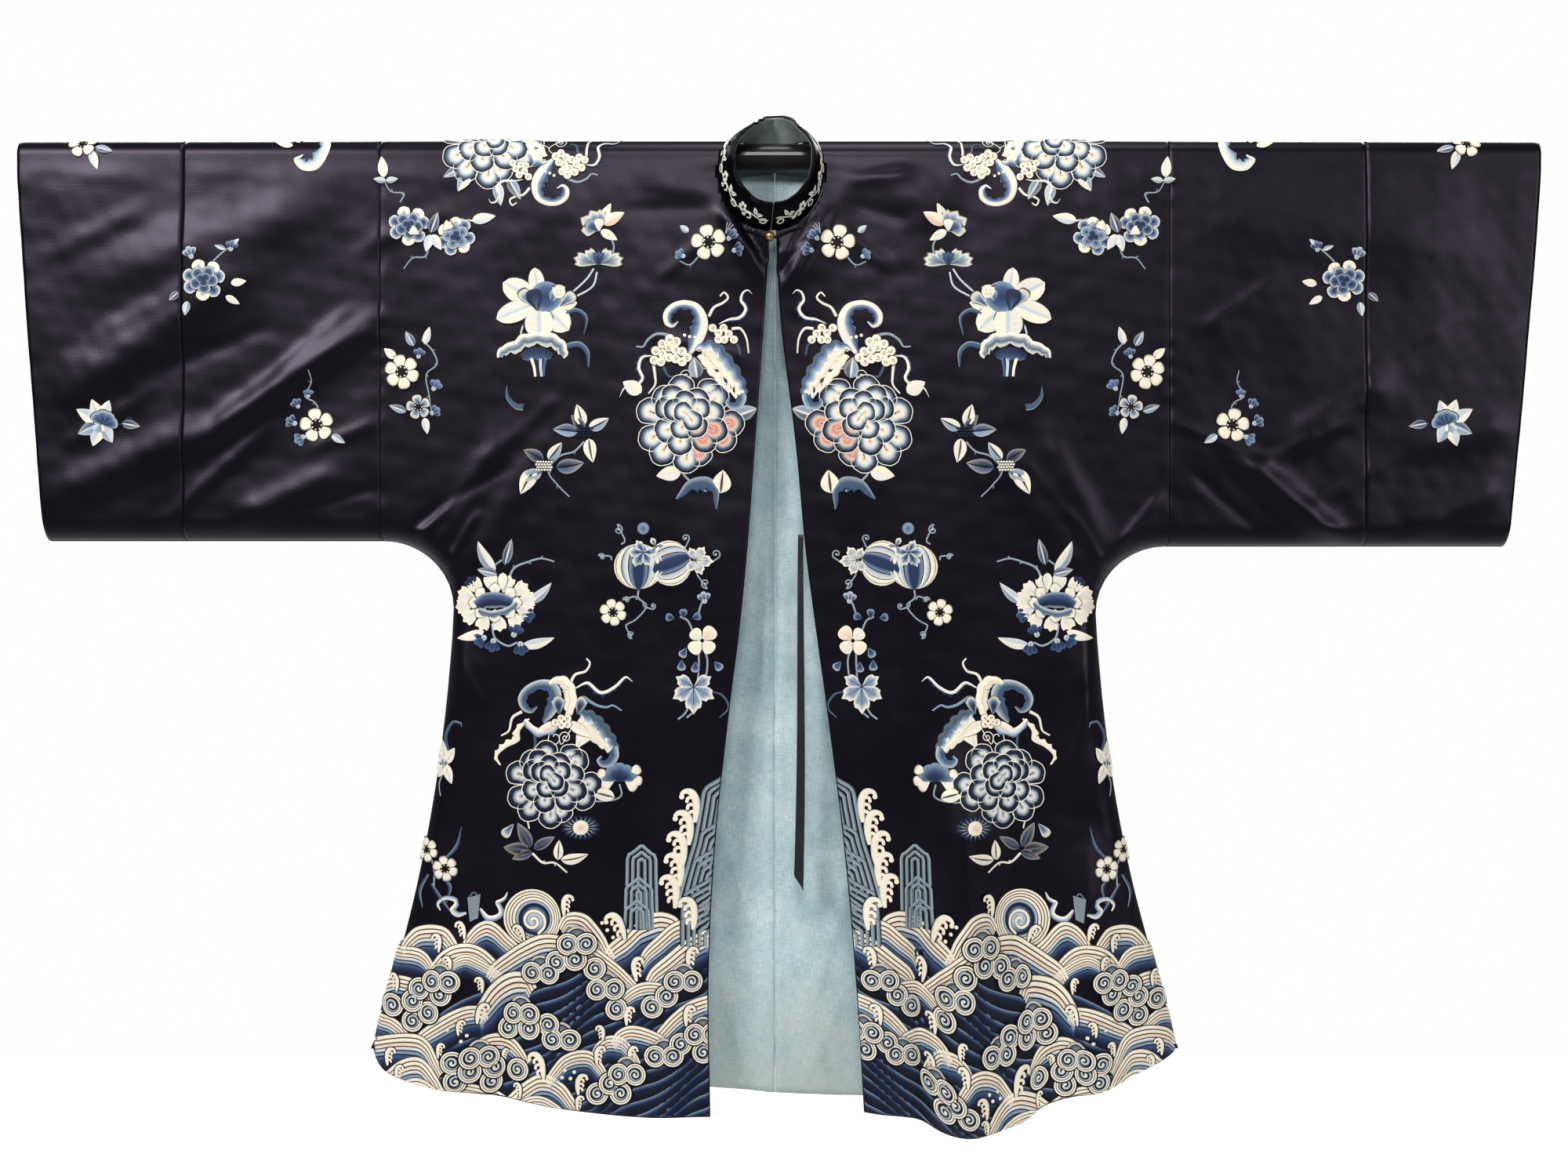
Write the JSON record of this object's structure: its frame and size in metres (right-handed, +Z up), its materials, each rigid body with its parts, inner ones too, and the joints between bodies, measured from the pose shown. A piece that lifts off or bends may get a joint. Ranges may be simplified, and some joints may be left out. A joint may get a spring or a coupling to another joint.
{
  "type": "waitao coat on a hanging pole",
  "caption": "Wide-sleeved silk coat with a round stand collar, open front, ball button and hanging tie, hung on a straight pole through both sleeves.",
  "frame": {"origin": "middle of the pole's axis, on the coat's centre line, where the pole is held", "axes": "+X along the pole to the wearer's left, +Y to the coat's back, +Z up"},
  "size_m": [1.7, 0.0904, 1.1358],
  "materials": {
    "satin": "glossy silk satin, near black",
    "cotton": "matt pale blue cotton",
    "cord": "black silk cord",
    "brass": "worn brass",
    "lacquer": "glossy black lacquer over wood"
  },
  "bodies": {
    "root": {"pole": "lacquer", "front_right": "satin", "front_left": "satin", "back_right": "satin", "back_left": "satin", "sleeve_right": "satin", "sleeve_left": "satin", "cuff_right": "satin", "cuff_left": "satin", "lining_right": "cotton", "lining_left": "cotton", "collar": "satin", "collar_lining": "cotton", "collar_binding": "cord", "tie": "satin", "button": "brass", "frog_right": "cord", "frog_left": "cord"}
  },
  "joints": []
}
